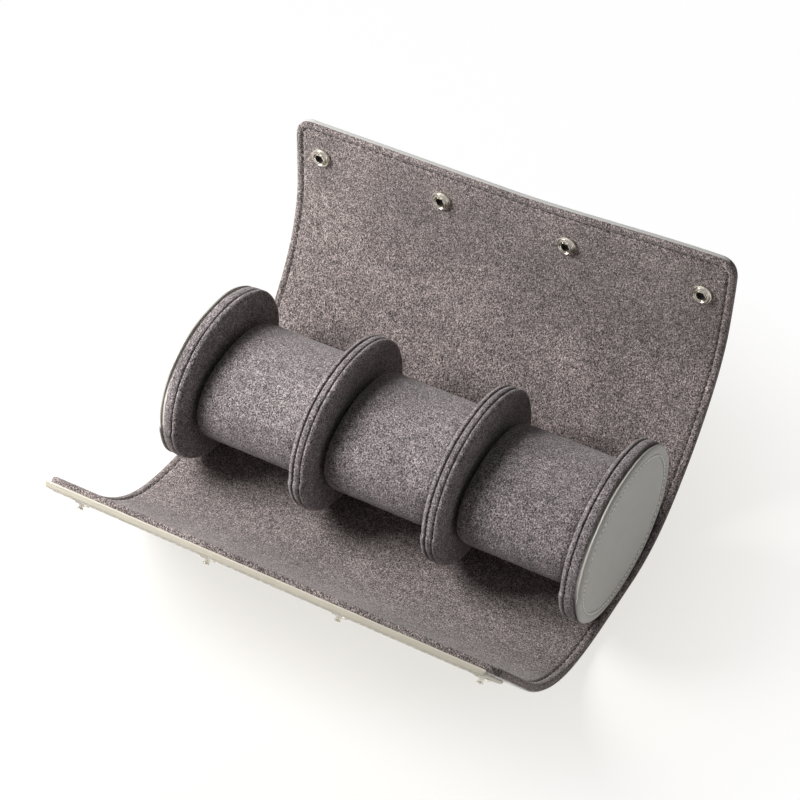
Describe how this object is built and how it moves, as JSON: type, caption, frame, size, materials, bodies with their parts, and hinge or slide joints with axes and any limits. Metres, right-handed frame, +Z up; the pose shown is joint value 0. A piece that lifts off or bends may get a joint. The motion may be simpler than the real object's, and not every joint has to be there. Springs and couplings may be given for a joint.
{
  "type": "watch roll",
  "caption": "Open watch roll: a curved leather and suede sheet with padded oval dividers, removable pillows and a row of snap fasteners on each flap.",
  "frame": {"origin": "on the table under the middle of the row of snaps and of the dividers' depth", "axes": "+X along the roll to its right end, +Y to the back flap, +Z up from the table"},
  "size_m": [0.192, 0.1888, 0.1094],
  "materials": {
    "leather": "smooth pale grey leather",
    "suede": "grey microsuede",
    "board": "thin grey board",
    "foam": "soft foam",
    "nickel": "polished nickel"
  },
  "bodies": {
    "base": {"base_leather": "leather", "base_board": "board", "base_lining": "suede", "left_end_core": "foam", "left_end_band": "suede", "left_end_left_face": "leather", "left_end_right_face": "suede", "middle_left_core": "foam", "middle_left_band": "suede", "middle_left_left_face": "suede", "middle_left_right_face": "suede", "middle_right_core": "foam", "middle_right_band": "suede", "middle_right_left_face": "suede", "middle_right_right_face": "suede", "right_end_core": "foam", "right_end_band": "suede", "right_end_left_face": "suede", "right_end_right_face": "leather"},
    "front_1": {"front_1_leather": "leather", "front_1_board": "board", "front_1_lining": "suede"},
    "front_2": {"front_2_leather": "leather", "front_2_board": "board", "front_2_lining": "suede"},
    "front_3": {"front_3_leather": "leather", "front_3_board": "board", "front_3_lining": "suede"},
    "front_4": {"front_4_leather": "leather", "front_4_board": "board", "front_4_lining": "suede", "stud_strip": "leather", "studs": "nickel", "stud_rivets": "nickel"},
    "back_1": {"back_1_leather": "leather", "back_1_board": "board", "back_1_lining": "suede"},
    "back_2": {"back_2_leather": "leather", "back_2_board": "board", "back_2_lining": "suede"},
    "back_3": {"back_3_leather": "leather", "back_3_board": "board", "back_3_lining": "suede"},
    "back_4": {"back_4_leather": "leather", "back_4_board": "board", "back_4_lining": "suede"},
    "back_5": {"back_5_leather": "leather", "back_5_board": "board", "back_5_lining": "suede", "sockets": "nickel", "socket_caps": "nickel"},
    "pillow_1": {"pillow_1_core": "foam", "pillow_1_cover": "suede"},
    "pillow_2": {"pillow_2_core": "foam", "pillow_2_cover": "suede"},
    "pillow_3": {"pillow_3_core": "foam", "pillow_3_cover": "suede"}
  },
  "joints": [
    {"name": "front_fold_1", "type": "hinge", "parent": "base", "child": "front_1", "pos_m": [0, -0.016, 0.0032], "axis": [-1, 0, 0], "range_deg": [0, 26.44]},
    {"name": "front_fold_2", "type": "hinge", "parent": "front_1", "child": "front_2", "pos_m": [0, -0.04082, 0.00581], "axis": [-1, 0, 0], "range_deg": [-0.1, 29.67]},
    {"name": "front_fold_3", "type": "hinge", "parent": "front_2", "child": "front_3", "pos_m": [0, -0.06328, 0.01628], "axis": [-1, 0, 0], "range_deg": [-0.1, 11.53]},
    {"name": "front_fold_4", "type": "hinge", "parent": "front_3", "child": "front_4", "pos_m": [0, -0.08059, 0.03421], "axis": [-1, 0, 0], "range_deg": [-0.1, 47]},
    {"name": "back_fold_1", "type": "hinge", "parent": "base", "child": "back_1", "pos_m": [0, 0.009, 0.0032], "axis": [1, 0, 0], "range_deg": [-2.07, 6.88]},
    {"name": "back_fold_2", "type": "hinge", "parent": "back_1", "child": "back_2", "pos_m": [0, 0.03737, 0.0116], "axis": [1, 0, 0], "range_deg": [-8.32, 28.12]},
    {"name": "back_fold_3", "type": "hinge", "parent": "back_2", "child": "back_3", "pos_m": [0, 0.05702, 0.02992], "axis": [1, 0, 0], "range_deg": [-7.96, 26.89]},
    {"name": "back_fold_4", "type": "hinge", "parent": "back_3", "child": "back_4", "pos_m": [0, 0.07125, 0.05509], "axis": [1, 0, 0], "range_deg": [-2.72, 9.11]},
    {"name": "back_fold_5", "type": "hinge", "parent": "back_4", "child": "back_5", "pos_m": [0, 0.07661, 0.0814], "axis": [1, 0, 0], "range_deg": [-9.5, 32.27]},
    {"name": "pillow_1_lift", "type": "slide", "parent": "base", "child": "pillow_1", "axis": [0, 0, 1], "range_m": [0, 0.1]},
    {"name": "pillow_2_lift", "type": "slide", "parent": "base", "child": "pillow_2", "axis": [0, 0, 1], "range_m": [0, 0.1]},
    {"name": "pillow_3_lift", "type": "slide", "parent": "base", "child": "pillow_3", "axis": [0, 0, 1], "range_m": [0, 0.1]}
  ],
  "couplings": [
    {"joint": "front_fold_2", "follows": "front_fold_1", "ratio": 1.1146},
    {"joint": "front_fold_3", "follows": "front_fold_1", "ratio": 0.4285},
    {"joint": "front_fold_4", "follows": "front_fold_1", "ratio": 1.77},
    {"joint": "back_fold_1", "follows": "back_fold_5", "ratio": 0.207},
    {"joint": "back_fold_2", "follows": "back_fold_5", "ratio": 0.8652},
    {"joint": "back_fold_3", "follows": "back_fold_5", "ratio": 0.8271},
    {"joint": "back_fold_4", "follows": "back_fold_5", "ratio": 0.2761}
  ]
}
